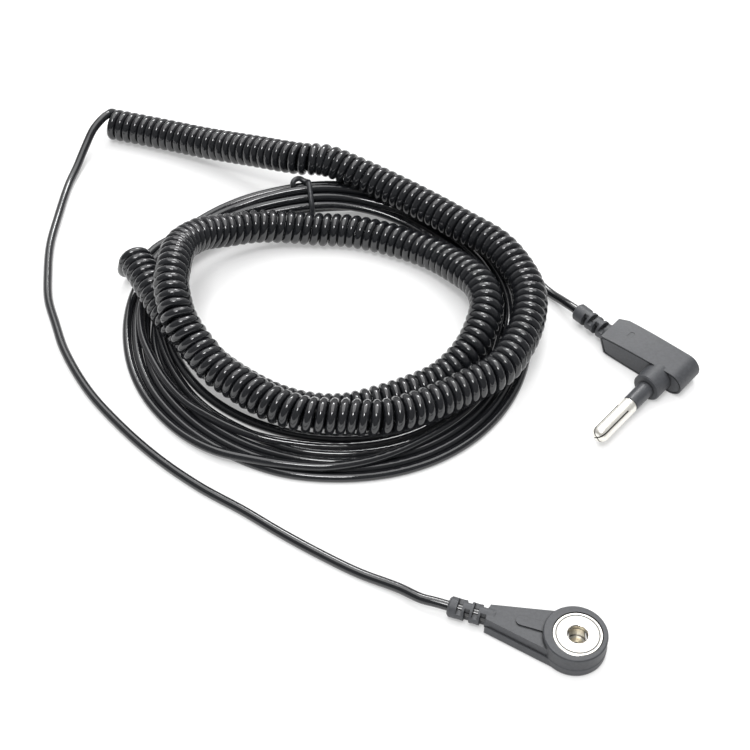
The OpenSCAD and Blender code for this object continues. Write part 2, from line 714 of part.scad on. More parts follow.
// Split contact pin: a domed nose sawn crosswise into four leaves, on a thinner shank
module contact_pin() {
    color(nickel) at_plug() difference() {
        along_pin(0.4) rotate_extrude() polygon(concat([[0, 0], [spigot_r + 0.5, 0],
            [spigot_r + 0.5, 0.3], [spigot_r, 0.3], [spigot_r, 0.4 - anchor_y],
            [anchor_r, 0.4 - anchor_y], [anchor_r, 0.4 - anchor_y + anchor_t],
            [shank_r, 0.4 - anchor_y + anchor_t], [shank_r, 0.4 - sleeve_y]],
            [[pin_r - 0.15, 0.4 - sleeve_y], [pin_r, 0.4 - sleeve_y + pin_ease]],
            [for (a = [0:10:90]) [pin_r * (0.3 + 0.7 * cos(a)) - (a == 90 ? 0.3 * pin_r : 0),
                0.4 - tip_y - tip_round + tip_round * sin(a)]]));
        for (turn = [0, 90])
            translate([pin_x, 0, plug_axis]) rotate([0, turn + 45, 0])
                translate([-cut_w / 2, tip_y - over, -pin_d])
                    cube([cut_w, pin_len - cut_start + over, 2 * pin_d]);
    }
}

module pin_sleeve() {
    start = anchor_y - anchor_t - seat;
    length = start - sleeve_y - seat;
    color(cord_black) at_plug() along_pin(start) rotate_extrude() polygon([
        [shank_r + seat, 0], [sleeve_r, 0], [sleeve_r, length - pin_ease],
        [sleeve_r - pin_ease / 3, length], [shank_r + seat, length]]);
}

module tag_shape(g) {
    ring_r = 2;
    along_pin(g) cylinder(r = ring_r + g, h = tag_t + 2 * g - seat);
    translate([tag_barrel_x - g, -tag_t - g + seat, plug_axis - tag_w / 2 - g])
        cube([pin_x - tag_barrel_x + g, tag_t + 2 * g - seat, tag_w + 2 * g]);
    from_boot(-tag_barrel_x - tag_barrel_len - g)
        cylinder(r = tag_barrel_r + g, h = tag_barrel_len + 2 * g);
}

module solder_tag() {
    color(nickel) at_plug() difference() {
        tag_shape(0);
        along_pin(over) cylinder(r = spigot_r + seat, h = 3 * over);
        from_boot(-tag_barrel_x - tag_barrel_len + 0.3)
            cylinder(d = core_d + 2 * seat, h = tag_barrel_len + over);
    }
}

module plug_conductor() {
    start = tag_barrel_x + tag_barrel_len - 0.4;
    color(copper) at_plug() from_boot(-start) cylinder(d = core_d, h = start + plug_boot_len);
}

module plug_jacket() {
    length = plug_jacket_in + plug_boot_len;
    color(cord_black) at_plug() from_boot(-plug_jacket_in) difference() {
        cylinder(d = wire_d, h = length);
        translate([0, 0, -over]) cylinder(d = core_d + 2 * seat, h = length + 2 * over);
    }
}

snap_housing();
snap_core();
socket_cap();
socket_base();
spring_left();
spring_right();
eyelet();
ring_terminal();
resistor_body();
resistor_leads();
crimp_sleeve();
snap_conductor();
snap_jacket();
snap_lead();
curly_cord();
lead_coil();
twist_tie();
plug_lead();
plug_housing();
plug_core();
contact_pin();
pin_sleeve();
solder_tag();
plug_conductor();
plug_jacket();
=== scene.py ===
import math

import bpy
import numpy as np
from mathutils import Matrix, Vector


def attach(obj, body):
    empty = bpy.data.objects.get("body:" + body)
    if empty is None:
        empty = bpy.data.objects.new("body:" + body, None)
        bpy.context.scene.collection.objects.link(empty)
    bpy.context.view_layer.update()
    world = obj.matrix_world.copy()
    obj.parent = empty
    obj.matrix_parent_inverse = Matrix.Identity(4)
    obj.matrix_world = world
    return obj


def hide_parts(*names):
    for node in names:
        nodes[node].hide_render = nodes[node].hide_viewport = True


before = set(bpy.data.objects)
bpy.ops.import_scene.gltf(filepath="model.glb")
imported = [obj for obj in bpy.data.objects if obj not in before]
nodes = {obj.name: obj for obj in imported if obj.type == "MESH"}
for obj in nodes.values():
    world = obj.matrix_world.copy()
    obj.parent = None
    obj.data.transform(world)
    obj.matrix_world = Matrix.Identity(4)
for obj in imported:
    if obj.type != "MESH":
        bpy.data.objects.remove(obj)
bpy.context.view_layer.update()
CORD_BODY = "cord"
MM = 0.001


# ---- The view ----
# A camera on a stand looks down on the cord from the side where the snap end lies.
CAMERA_AT = (-0.041, -0.1612, 0.26304)
CAMERA_PITCH = 42           # degrees up from straight down
CAMERA_LENS = 71.04

camera_data = bpy.data.cameras.new("camera")
camera_data.lens = CAMERA_LENS
camera_data.sensor_width = 36
camera = bpy.data.objects.new("camera", camera_data)
camera.location = CAMERA_AT
camera.rotation_euler = (math.radians(CAMERA_PITCH), 0, 0)
bpy.context.collection.objects.link(camera)
bpy.context.scene.camera = camera


# ---- The cord's jacket ----
# All of the cord is one soft black wire, extruded round a stranded core. Its glossy
# skin has the faint streaks of the die and a little dust.
WIRE_R = 1.1 * MM
JACKET_BLACK = (0.009, 0.0096, 0.0112, 1)


def new_material(name):
    material = bpy.data.materials.new(name)
    material.use_nodes = True
    tree = material.node_tree
    return material, tree, tree.nodes["Principled BSDF"]


def add(tree, kind, **settings):
    """A new node, with its settings and the values of its sockets."""
    node = tree.nodes.new(kind)
    for key, value in settings.items():
        if hasattr(node, key):
            setattr(node, key, value)
        else:
            node.inputs[key.replace("_", " ")].default_value = value
    return node


def ramp(tree, source, low, high, dark, light):
    """Source's values from low to high, mapped on a range of grey."""
    node = tree.nodes.new("ShaderNodeMapRange")
    tree.links.new(source, node.inputs["Value"])
    for socket, value in zip(("From Min", "From Max", "To Min", "To Max"),
                             (low, high, dark, light)):
        node.inputs[socket].default_value = value
    return node.outputs["Result"]


def bump(tree, shader, height, strength, distance):
    node = tree.nodes.new("ShaderNodeBump")
    node.inputs["Strength"].default_value = strength
    node.inputs["Distance"].default_value = distance
    tree.links.new(height, node.inputs["Height"])
    tree.links.new(node.outputs["Normal"], shader.inputs["Normal"])


def dimmed(tree, colour, level):
    """The colour times a level."""
    scaled = tree.nodes.new("ShaderNodeVectorMath")
    scaled.operation = "SCALE"
    tree.links.new(colour, scaled.inputs[0])
    tree.links.new(level, scaled.inputs["Scale"])
    return scaled.outputs["Vector"]


def crease_shaded(tree, colour, width, dark):
    """The colour, with painted shade in the grooves and slits that are about width wide."""
    node = tree.nodes.new("ShaderNodeAmbientOcclusion")
    node.samples = 16
    node.inputs["Distance"].default_value = width
    return dimmed(tree, colour, ramp(tree, node.outputs["AO"], 0.4, 0.98, dark, 1))


def make_jacket():
    material, tree, shader = new_material("cord_jacket")
    link = tree.links.new
    shader.inputs["Base Color"].default_value = JACKET_BLACK
    shader.inputs["IOR"].default_value = 1.5
    shader.inputs["Specular IOR Level"].default_value = 0.7
    place = tree.nodes.new("ShaderNodeTexCoord").outputs["Object"]
    cloud = add(tree, "ShaderNodeTexNoise", Scale=160.0, Detail=3.0)
    link(place, cloud.inputs["Vector"])
    link(ramp(tree, cloud.outputs["Fac"], 0.35, 0.65, 0.09, 0.16), shader.inputs["Roughness"])
    skin = add(tree, "ShaderNodeTexNoise", Scale=900.0, Detail=2.0)
    link(place, skin.inputs["Vector"])
    bump(tree, shader, skin.outputs["Fac"], 0.12, 0.00008)
    return material


jacket = make_jacket()


def smooth(points, step):
    """An even curve through given points, in metres."""
    p = np.asarray(points, float)
    p = np.vstack([2 * p[0] - p[1], p, 2 * p[-1] - p[-2]])
    out = []
    for a, b, c, d in zip(p[:-3], p[1:-2], p[2:-1], p[3:]):
        knots = np.cumsum([0] + [max(np.linalg.norm(v), 1e-9) ** 0.5
                                 for v in (b - a, c - b, d - c)])
        k0, k1, k2, k3 = knots
        for t in np.linspace(k1, k2, 16, endpoint=False):
            ab = (k1 - t) / (k1 - k0) * a + (t - k0) / (k1 - k0) * b
            bc = (k2 - t) / (k2 - k1) * b + (t - k1) / (k2 - k1) * c
            cd = (k3 - t) / (k3 - k2) * c + (t - k2) / (k3 - k2) * d
            abc = (k2 - t) / (k2 - k0) * ab + (t - k0) / (k2 - k0) * bc
            bcd = (k3 - t) / (k3 - k1) * bc + (t - k1) / (k3 - k1) * cd
            out.append((k2 - t) / (k2 - k1) * abc + (t - k1) / (k2 - k1) * bcd)
    out.append(p[-2])
    return spaced(np.array(out), step)


def run_of(line):
    return np.concatenate([[0], np.cumsum(np.linalg.norm(np.diff(line, axis=0), axis=1))])


def at_runs(line, places):
    run = run_of(line)
    return np.stack([np.interp(places, run, line[:, k]) for k in range(3)], axis=1)


def spaced(line, step):
    total = run_of(line)[-1]
    return at_runs(line, np.linspace(0, total, max(2, math.ceil(total / step) + 1)))


def line_object(name, points):
    mesh = bpy.data.meshes.new(name)
    mesh.from_pydata([tuple(p) for p in points],
                     [(i, i + 1) for i in range(len(points) - 1)], [])
    item = bpy.data.objects.new(name, mesh)
    bpy.context.collection.objects.link(item)
    return item


def geometry_tree(name, inputs):
    """A new geometry tree with one geometry in and out, and named inputs."""
    tree = bpy.data.node_groups.new(name, "GeometryNodeTree")
    tree.interface.new_socket("Geometry", in_out="INPUT", socket_type="NodeSocketGeometry")
    ids = {}
    for label, kind, value in inputs:
        socket = tree.interface.new_socket(label, in_out="INPUT", socket_type=kind)
        if value is not None:
            socket.default_value = value
        ids[label] = socket.identifier
    tree.interface.new_socket("Geometry", in_out="OUTPUT", socket_type="NodeSocketGeometry")
    return tree, ids, tree.nodes.new("NodeGroupInput"), tree.nodes.new("NodeGroupOutput")


def sweep_tree():
    """Draws a round wire along a line, with capped ends and a smooth skin."""
    tree, ids, given, made = geometry_tree("Drawn wire", [
        ("Wire radius", "NodeSocketFloat", WIRE_R),
        ("Sides", "NodeSocketInt", 12),
        ("Finish", "NodeSocketMaterial", None)])
    link = tree.links.new
    curve = tree.nodes.new("GeometryNodeMeshToCurve")
    circle = tree.nodes.new("GeometryNodeCurvePrimitiveCircle")
    swept = tree.nodes.new("GeometryNodeCurveToMesh")
    shade = tree.nodes.new("GeometryNodeSetShadeSmooth")
    real = tree.nodes.new("GeometryNodeRealizeInstances")
    finish = tree.nodes.new("GeometryNodeSetMaterial")
    swept.inputs["Fill Caps"].default_value = True
    link(given.outputs["Geometry"], curve.inputs["Mesh"])
    link(given.outputs["Wire radius"], circle.inputs["Radius"])
    link(given.outputs["Sides"], circle.inputs["Resolution"])
    link(curve.outputs["Curve"], swept.inputs["Curve"])
    link(circle.outputs["Curve"], swept.inputs["Profile Curve"])
    link(swept.outputs["Mesh"], shade.inputs["Geometry"])
    link(shade.outputs["Geometry"], real.inputs["Geometry"])
    link(real.outputs["Geometry"], finish.inputs["Geometry"])
    link(given.outputs["Finish"], finish.inputs["Material"])
    link(finish.outputs["Geometry"], made.inputs["Geometry"])
    return tree, ids


def settle(item, tree, ids, values):
    """Runs a geometry tree on an object and keeps the result as its plain mesh."""
    modifier = item.modifiers.new(tree.name, "NODES")
    modifier.node_group = tree
    for label, value in values.items():
        modifier[ids[label]] = value
    item.update_tag()
    graph = bpy.context.evaluated_depsgraph_get()
    graph.update()
    mesh = bpy.data.meshes.new_from_object(item.evaluated_get(graph))
    item.modifiers.clear()
    old, item.data = item.data, mesh
    bpy.data.meshes.remove(old)
    mesh.name = item.name
    return item


SWEEP, SWEEP_IDS = sweep_tree()


def drawn_wire(name, points, radius=WIRE_R, sides=12, finish=jacket):
    item = line_object(name, points)
    settle(item, SWEEP, SWEEP_IDS,
           {"Wire radius": radius, "Sides": sides, "Finish": finish})
    return item


# ---- The curly stretch ----
# The same wire, wound left-handed on a rod and set by heat. It lies on the put-away loops
# in one and a half turns of its own, and opens a little where it bends most.
CURL_OD = 8.6 * MM
CURL_R = CURL_OD / 2 - WIRE_R
RINGS_PER_CURL = 24
LAST_CURL = 0.25            # the last curl stops after this share of a turn
CURL_ROUTE = np.array([
    [-114.5, 165.5, 4.5], [-100, 160.5, 5], [-86.5, 154.5, 6.5],
    [-73, 147.5, 9.5], [-60.5, 141, 12.3], [-54, 140, 12.6], [-46, 136.5, 11.5],
    [-38.5, 132.5, 10.5], [-28.5, 125.5, 10], [-19.5, 118, 10], [-10, 109.5, 9.9],
    [-4.5, 98.5, 9.5], [-3.5, 92, 9.5], [-5, 83, 9.5], [-8, 75.5, 9.5],
    [-12.5, 68.5, 9.5], [-19, 64, 9.5], [-28, 58, 10], [-39, 53, 11],
    [-47.5, 53, 11.2], [-56.5, 53.5, 11.4], [-64, 56.5, 11.6], [-68.5, 59.5, 11.8],
    [-73, 63, 12], [-77.5, 66.5, 12.6], [-81, 70.5, 14], [-84, 74, 15.8],
    [-86.5, 78, 17.6], [-88, 83, 18.5], [-89, 88, 18.6], [-89, 93, 18.3], [-89, 99, 17],
    [-88.4, 104.9, 15], [-86.8, 108.7, 13.5], [-84.3, 112.3, 12], [-78.9, 116.8, 9],
    [-71.5, 120.5, 7], [-63.5, 122, 5.5], [-55.5, 122, 4.6], [-47.5, 121.5, 4.5],
    [-36.5, 118, 4.6], [-26.5, 112, 5.5], [-20.5, 105.5, 7], [-15.5, 98, 8.6],
    [-14, 91, 8.9], [-15, 85.5, 8.5], [-18.5, 77.5, 7], [-25, 70.5, 5],
    [-32, 66.5, 4.5], [-40, 63, 4.5], [-48, 60.5, 4.5], [-57, 61, 4.5],
    [-65, 64, 4.5], [-72.5, 69, 4.5], [-78.5, 74, 4.8], [-83, 78.5, 6],
    [-86, 81, 8], [-88.5, 83.5, 9.4], [-91.5, 88.5, 9.5], [-95.5, 96.5, 9.5],
    [-100.5, 105.5, 9.5]]) * MM
# Pitch of the curls at shares of the way
PITCH_AT = (0, 0.15, 0.3, 0.45, 0.6, 0.8, 1)
PITCH = np.array((2.26, 2.3, 2.36, 2.44, 2.38, 2.34, 2.3)) * MM


def curl_tree():
    """Bends an evenly divided line into curls round its own way."""
    tree, ids, given, made = geometry_tree("Curled wire", [
        ("Curl radius", "NodeSocketFloat", CURL_R),
        ("Rings per curl", "NodeSocketInt", RINGS_PER_CURL)])
    link = tree.links.new

    def vector(operation, *sources):
        node = tree.nodes.new("ShaderNodeVectorMath")
        node.operation = operation
        for i, source in enumerate(sources):
            if hasattr(source, "is_output"):
                link(source, node.inputs[i])
            else:
                node.inputs[i].default_value = source
        return node.outputs["Vector"]

    def scaled(source, factor):
        node = tree.nodes.new("ShaderNodeVectorMath")
        node.operation = "SCALE"
        link(source, node.inputs[0])
        link(factor, node.inputs["Scale"])
        return node.outputs["Vector"]

    def number(operation, *sources):
        node = tree.nodes.new("ShaderNodeMath")
        node.operation = operation
        for i, source in enumerate(sources):
            if hasattr(source, "is_output"):
                link(source, node.inputs[i])
            else:
                node.inputs[i].default_value = source
        return node.outputs["Value"]

    curve = tree.nodes.new("GeometryNodeMeshToCurve")
    way = tree.nodes.new("GeometryNodeInputTangent").outputs["Tangent"]
    index = tree.nodes.new("GeometryNodeInputIndex").outputs["Index"]
    right = vector("NORMALIZE", vector("CROSS_PRODUCT", way, (0, 0, 1)))
    up = vector("CROSS_PRODUCT", right, way)
    angle = number("MULTIPLY", number("DIVIDE", index, given.outputs["Rings per curl"]),
                   math.tau)
    radius = given.outputs["Curl radius"]
    rise = scaled(up, number("MULTIPLY", number("COSINE", angle), radius))
    side = scaled(right, number("MULTIPLY", number("SINE", angle), radius))
    moved = tree.nodes.new("GeometryNodeSetPosition")
    bare = tree.nodes.new("GeometryNodeCurveToMesh")
    link(given.outputs["Geometry"], curve.inputs["Mesh"])
    link(curve.outputs["Curve"], moved.inputs["Geometry"])
    link(vector("SUBTRACT", rise, side), moved.inputs["Offset"])
    link(moved.outputs["Geometry"], bare.inputs["Curve"])
    link(bare.outputs["Mesh"], made.inputs["Geometry"])
    return tree, ids


def by_curls(route):
    """Points along the route, a fixed share of a curl apart."""
    line = smooth(route, 0.3 * MM)
    run = run_of(line)
    pitch = np.interp(run / run[-1], PITCH_AT, PITCH)
    turns = np.concatenate([[0], np.cumsum(np.diff(run) / pitch[1:])])
    last = math.floor(turns[-1]) + LAST_CURL
    wanted = np.arange(round(last * RINGS_PER_CURL) + 1) / RINGS_PER_CURL
    return at_runs(line, np.interp(wanted * turns[-1] / last, turns, run))


CURL, CURL_IDS = curl_tree()
helix_line = line_object("curly_line", by_curls(CURL_ROUTE))
settle(helix_line, CURL, CURL_IDS, {"Curl radius": CURL_R, "Rings per curl": RINGS_PER_CURL})
helix = np.array([tuple(v.co) for v in helix_line.data.vertices])
bpy.data.objects.remove(helix_line)

curly = drawn_wire("curly_wire", helix, sides=12)
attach(curly, CORD_BODY)
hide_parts("curly_cord")


# ---- The lead to the snap end ----
# The straight stretch of the same wire, from the boot at the snap head, along the table
# and up to the first curl.
SNAP_TURN = math.radians(161)
SNAP_REACH = 27.15
SNAP_AXIS = 2.55
SNAP_MOUTH = np.array([SNAP_REACH * math.cos(SNAP_TURN), SNAP_REACH * math.sin(SNAP_TURN),
                       SNAP_AXIS])
SNAP_WAY = np.array([math.cos(SNAP_TURN), math.sin(SNAP_TURN), 0])
SNAP_ROUTE = np.array([
    [-118, 161, 6.6], [-120, 156.5, 4.4], [-122, 150, 2],
    [-123.5, 143.5, 1.2], [-124.5, 131.5, 1.1], [-125, 120, 1.1], [-124, 109, 1.1],
    [-122.5, 100, 1.1], [-119.5, 91.5, 1.1], [-116, 82.5, 1.1], [-108.5, 69.5, 1.1],
    [-99.5, 58.5, 1.1], [-90, 49, 1.1], [-80, 41, 1.1], [-70, 34.5, 1.1],
    [-61.5, 28.5, 1.1], [-53, 23, 1.1], [-44.5, 18, 1.2], [-36, 13.8, 1.8],
    list(SNAP_MOUTH + 6 * SNAP_WAY - [0, 0, 0.15]), list(SNAP_MOUTH + 3 * SNAP_WAY),
    list(SNAP_MOUTH)]) * MM
LEAD_STEP = 1.2 * MM


def joined(route, first, step):
    """A lead's curve that runs on from the last two points of a finished one."""
    line = smooth(np.vstack([first, route]), step)
    start = int(np.argmin(np.linalg.norm(line - first[-1], axis=1)))
    return np.vstack([first[-1:], line[start + 1:]])


snap_line = joined(SNAP_ROUTE, helix[[6, 0]], LEAD_STEP)
snap_lead = drawn_wire("snap_lead_wire", snap_line, sides=16)
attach(snap_lead, CORD_BODY)
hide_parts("snap_lead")


# ---- The put-away loops ----
# The rest of the wire, wound by hand in seven loops on the table, under the curly
# stretch. The tie holds them as one close bundle; away from it they spread and cross.
COIL_CENTRE = np.array([-52, 93])
COIL_FROM = 125             # degrees; the loops run clockwise, seen from above
COIL_TURNS = 7.25
CLIMB_FROM = 3.2            # turns; from here on the loops lie on the first ones
CLIMB_TURNS = 0.6
CLIMB_HEIGHT = 2
POINTS_PER_LOOP = 72
LINK_ROUTE = np.array([
    [-104.1, 105.6, 5.2], [-103.6, 107.6, 3], [-102.4, 110.4, 1.5],
    [-100.5, 114, 1.1], [-96.5, 120, 1.1], [-90.5, 127, 1.1]])
# Radius of each loop in mm, every eighth of a turn from the start
LOOP_RADII = np.array([
    (49, 47, 47.6, 48.3, 50.3, 48.4, 47.6, 47.2),
    (47.2, 45.2, 45.6, 46.2, 48.3, 46.2, 45.4, 45),
    (45.2, 43.2, 43.6, 44, 46.1, 44, 43.2, 42.8),
    (43.4, 41, 41.6, 41.8, 43.9, 41.8, 41.2, 43.4),
    (43.4, 39, 39.8, 40, 39.8, 37.4, 38.1, 42),
    (44.8, 41.4, 42, 42.2, 43.2, 41.4, 43.6, 47.2),
    (47.6, 44.4, 43, 42.8, 45.4, 48, 48.4, 50),
    (49.6, 47.4, 48.4, 50, 50, 50, 50, 50)]).ravel()
LOWEST = 1.1
HIGHEST = 3.5
TIE_AT = 98
TIE_D = 1.4
# The bundle at the tie: the middle of its near face, that face's slope, its half length
# in degrees, and each strand's place in strand gaps, up the face and behind it
BUNDLE = np.array([39.2, 7])
BUNDLE_SLOPE = math.radians(38)
BUNDLE_HALF = 30
STRAND_GAP = 2.3
STRANDS = np.array([(0, 1.73), (-1, 1.73), (-0.5, 0.87), (0.5, 0.87),
                    (-1, 0), (0, 0), (1, 0), (1.5, 0.87)]) * STRAND_GAP
# How the loops come to rest: rounds of pressing, and in each round how far a strand sinks
# and which shares of an overlap, of a step in height and of a bend are taken away
PRESS_ROUNDS = 200
SINK = 0.02
APART_SHARE = 0.55
LEVEL_SHARE = 0.16
STRAIGHTEN_SHARE = 0.05
SAME_STRAND = 6             # points this near along the wire don't press on each other
TIE_HALF_WIDTH = 14         # degrees; the strands rise over the tie in this width
RISE_HALF_WIDTH = 30
RISE = 4


def through(values, at):
    """A smooth curve through evenly spaced values."""
    i = np.clip(np.floor(at).astype(int), 0, len(values) - 2)
    u = at - i
    a, b, c, d = (values[np.clip(i + k, 0, len(values) - 1)] for k in (-1, 0, 1, 2))
    return b + u / 2 * (c - a + u * (2 * a - 5 * b + 4 * c - d
                                     + u * (3 * b - a - 3 * c + d)))


def in_bundle(places):
    """Distance from the coil's middle and height, for places up the face and behind it."""
    cos, sin = math.cos(BUNDLE_SLOPE), math.sin(BUNDLE_SLOPE)
    return BUNDLE + np.asarray(places) @ np.array([(cos, sin), (sin, -cos)])


def wound_loops():
    t = np.linspace(0, COIL_TURNS, round(COIL_TURNS * POINTS_PER_LOOP) + 1)
    degrees = COIL_FROM - 360 * t
    off_tie = (degrees - TIE_AT + 180) % 360 - 180
    held = np.exp(-(off_tie / BUNDLE_HALF) ** 2)
    strand = np.round(t - (COIL_FROM - TIE_AT) / 360).astype(int)
    held_at = in_bundle(STRANDS[strand])
    climb = np.clip((t - CLIMB_FROM) / CLIMB_TURNS, 0, 1)
    r = through(LOOP_RADII, 8 * t)
    z = LOWEST + CLIMB_HEIGHT * climb * climb * (3 - 2 * climb)
    r += held * (held_at[:, 0] - r)
    z += held * (held_at[:, 1] - z)
    angle = np.radians(degrees)
    line = np.stack([COIL_CENTRE[0] + r * np.cos(angle),
                     COIL_CENTRE[1] + r * np.sin(angle), z], axis=1)
    return rested(line, held, off_tie) * MM


def rested(line, held, off_tie):
    """Lets the strands sink, and presses them apart until each lies beside the others."""
    apart = 2 * WIRE_R / MM + 0.04
    wound = line.copy()
    index = np.arange(len(line))
    near = np.abs(index[:, None] - index[None]) < SAME_STRAND
    lift = TIE_D * np.exp(-(off_tie / TIE_HALF_WIDTH) ** 2)
    low = LOWEST + lift
    high = HIGHEST + lift + RISE * np.exp(-(off_tie / RISE_HALF_WIDTH) ** 2)
    for _ in range(PRESS_ROUNDS):
        line[:, 2] -= SINK * (1 - held)
        between = line[:, None] - line[None]
        distance = np.linalg.norm(between, axis=2)
        distance[near] = 2 * apart
        push = np.clip(apart - distance, 0, None)
        count = np.maximum((push > 0).sum(axis=1), 1)
        pressed = (between * (push / distance)[:, :, None]).sum(axis=1)
        line += APART_SHARE * pressed / count[:, None] ** 0.5
        line[1:-1, 2] += LEVEL_SHARE * (line[:-2, 2] + line[2:, 2] - 2 * line[1:-1, 2])
        line[2:-2] -= STRAIGHTEN_SHARE * (line[4:] - 4 * line[3:-1] + 6 * line[2:-2]
                                          - 4 * line[1:-3] + line[:-4])
        line[:, 2] = np.clip(line[:, 2], low, high)
        line += 0.5 * (wound - line) * held[:, None] ** 3
        line[[0, -1]] = wound[[0, -1]]
    return line


loops = wound_loops()
coil_line = np.vstack([joined(np.vstack([LINK_ROUTE[:-1] * MM, loops[:1]]), helix[[-7, -1]],
                              LEAD_STEP)[:-1], loops])
coil_line = smooth(np.vstack([coil_line[:-2:2], coil_line[-1:]]), LEAD_STEP)
put_away = drawn_wire("put_away_loops", coil_line, sides=14)
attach(put_away, CORD_BODY)
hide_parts("lead_coil")


# ---- The lead to the plug ----
# The last stretch of the wire leaves the loops at the right and runs up into the boot of
# the plug.
PLUG_AT = np.array([15.7, 85.7, 3.5])
PLUG_TURN = -41             # degrees
BOOT_BEND = 8
BOOT_LEN = 10.6
BOOT_TURN = math.radians(180 - BOOT_BEND + PLUG_TURN)
BOOT_WAY = np.array([math.cos(BOOT_TURN), math.sin(BOOT_TURN), 0])
PLUG_MOUTH = PLUG_AT + BOOT_LEN * BOOT_WAY
PLUG_ROUTE = np.array([
    [-4.5, 112.5, 3], [-1.7, 108.3, 2.1], [1.4, 103.8, 1.5], [3.5, 101, 1.7],
    [5.2, 98.5, 2.5], list(PLUG_MOUTH + 3 * BOOT_WAY - [0, 0, 0.15]),
    list(PLUG_MOUTH + 1.2 * BOOT_WAY), list(PLUG_MOUTH)]) * MM

plug_line = joined(PLUG_ROUTE, coil_line[[-8, -1]], LEAD_STEP)
plug_lead = drawn_wire("plug_lead_wire", plug_line, sides=16)
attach(plug_lead, CORD_BODY)
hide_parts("plug_lead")


# ---- The twist tie ----
# A plastic-covered wire in one turn round the loops. At the outer side its end is bent
# back in a small ring.
def make_satin(name, colour, rough, grain, depth):
    material, tree, shader = new_material(name)
    link = tree.links.new
    place = tree.nodes.new("ShaderNodeTexCoord").outputs["Object"]
    cloud = add(tree, "ShaderNodeTexNoise", Scale=90.0, Detail=4.0)
    link(place, cloud.inputs["Vector"])
    blend = tree.nodes.new("ShaderNodeMix")
    blend.data_type = "RGBA"
    blend.inputs["A"].default_value = tuple(0.78 * c for c in colour[:3]) + (1,)
    blend.inputs["B"].default_value = tuple(1.2 * c for c in colour[:3]) + (1,)
    fine = add(tree, "ShaderNodeTexNoise", Scale=grain, Detail=2.0)
    link(place, fine.inputs["Vector"])
    speckle = tree.nodes.new("ShaderNodeMath")
    link(ramp(tree, cloud.outputs["Fac"], 0.3, 0.7, 0, 0.4), speckle.inputs[0])
    link(ramp(tree, fine.outputs["Fac"], 0.3, 0.7, 0, 0.6), speckle.inputs[1])
    link(speckle.outputs[0], blend.inputs["Factor"])
    # Grooves and slits get painted shade from ambient occlusion.
    link(crease_shaded(tree, blend.outputs["Result"], 0.5 * MM, 0.15), shader.inputs["Base Color"])
    link(ramp(tree, cloud.outputs["Fac"], 0.3, 0.7, rough - 0.04, rough + 0.05),
         shader.inputs["Roughness"])
    bump(tree, shader, fine.outputs["Fac"], depth, 0.00005)
    return material


tie_plastic = make_satin("tie_plastic", (0.022, 0.023, 0.026), 0.3, 1500.0, 0.2)
# The turn round the bundle: its middle, half its width up the face and behind it, how
# square it is, where it starts, and how far it climbs along the wire
TIE_MIDDLE = (0, 1.96355)
TIE_HALF = np.array([4.2, 3.85])
TIE_SQUARE = 0.55
TIE_START = 0.02
TIE_CLIMB = 0.8
# The tie's bent end: places up the bundle's face, behind it, and along the wire
TIE_END = [(3.2, 0.6, -4.4), (4.1, -0.2, -4.6), (5, 0, -3.8), (5.3, 0.6, -2.6),
           (4.7, 0.7, -1.7), (4.3, 0.6, -0.9)]


def at_tie(up, behind, along):
    r, z = in_bundle((up, behind))
    turn = math.radians(TIE_AT)
    return [COIL_CENTRE[0] + r * math.cos(turn) + along * math.sin(turn),
            COIL_CENTRE[1] + r * math.sin(turn) - along * math.cos(turn), z]


def tie_route():
    """The bent end, then one turn round the bundle: a rounded oblong."""
    points = [at_tie(*place) for place in TIE_END]
    for share in np.linspace(0, 1, 29):
        a = math.tau * (share - TIE_START)
        up, behind = (m + h * math.copysign(abs(v) ** TIE_SQUARE, v)
                      for m, h, v in zip(TIE_MIDDLE, TIE_HALF, (math.cos(a), -math.sin(a))))
        points.append(at_tie(up, behind, TIE_CLIMB * share - 0.6))
    return smooth(np.array(points) * MM, 0.4 * MM)


tie = drawn_wire("twist_tie_wire", tie_route(), radius=TIE_D / 2 * MM, sides=12,
                 finish=tie_plastic)
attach(tie, CORD_BODY)
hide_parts("twist_tie")


# ---- The moulded ends ----
# Both ends are moulded round the wire in soft plastic, with a fine satin grain. The boots
# at the wire are ribbed, so that they bend. Grooves in the plastic get painted shade.
moulded = make_satin("moulded_plastic", (0.044, 0.046, 0.051), 0.5, 1700.0, 0.6)
inner_mould = make_satin("inner_mould", (0.05, 0.05, 0.055), 0.6, 1800.0, 0.3)
sleeve_plastic = make_satin("sleeve_plastic", (0.044, 0.046, 0.051), 0.42, 2000.0, 0.2)
resistor_coat = make_satin("resistor_coat", (0.62, 0.48, 0.3), 0.35, 1200.0, 0.2)


def dress(material, *names):
    for name in names:
        data = nodes[name].data
        data.materials.clear()
        data.materials.append(material)


dress(moulded, "snap_housing", "plug_housing")
dress(inner_mould, "snap_core", "plug_core")
dress(sleeve_plastic, "pin_sleeve")
dress(resistor_coat, "resistor_body")
dress(jacket, "snap_jacket", "plug_jacket")


# ---- The metal pieces ----
# The socket and the pin are pressed and turned from brass and plated with bright nickel,
# and the eyelet is bare brass. The two retaining springs are drawn steel wire. A thin line
# of painted shade lies in the cap's pressed groove, and the metal's grooves and slits get
# painted shade too.
def ring_shaded(tree, place, colour, radius, width, dark):
    """The colour, with a line of painted shade along a ring round the upright axis."""
    flat = add(tree, "ShaderNodeVectorMath", operation="MULTIPLY")
    flat.inputs[1].default_value = (1, 1, 0)
    tree.links.new(place, flat.inputs[0])
    length = add(tree, "ShaderNodeVectorMath", operation="LENGTH")
    tree.links.new(flat.outputs["Vector"], length.inputs[0])
    off = add(tree, "ShaderNodeMath", operation="SUBTRACT")
    off.inputs[1].default_value = radius
    tree.links.new(length.outputs["Value"], off.inputs[0])
    gap = add(tree, "ShaderNodeMath", operation="ABSOLUTE")
    tree.links.new(off.outputs[0], gap.inputs[0])
    return dimmed(tree, colour, ramp(tree, gap.outputs[0], 0.2 * width, width, dark, 1))


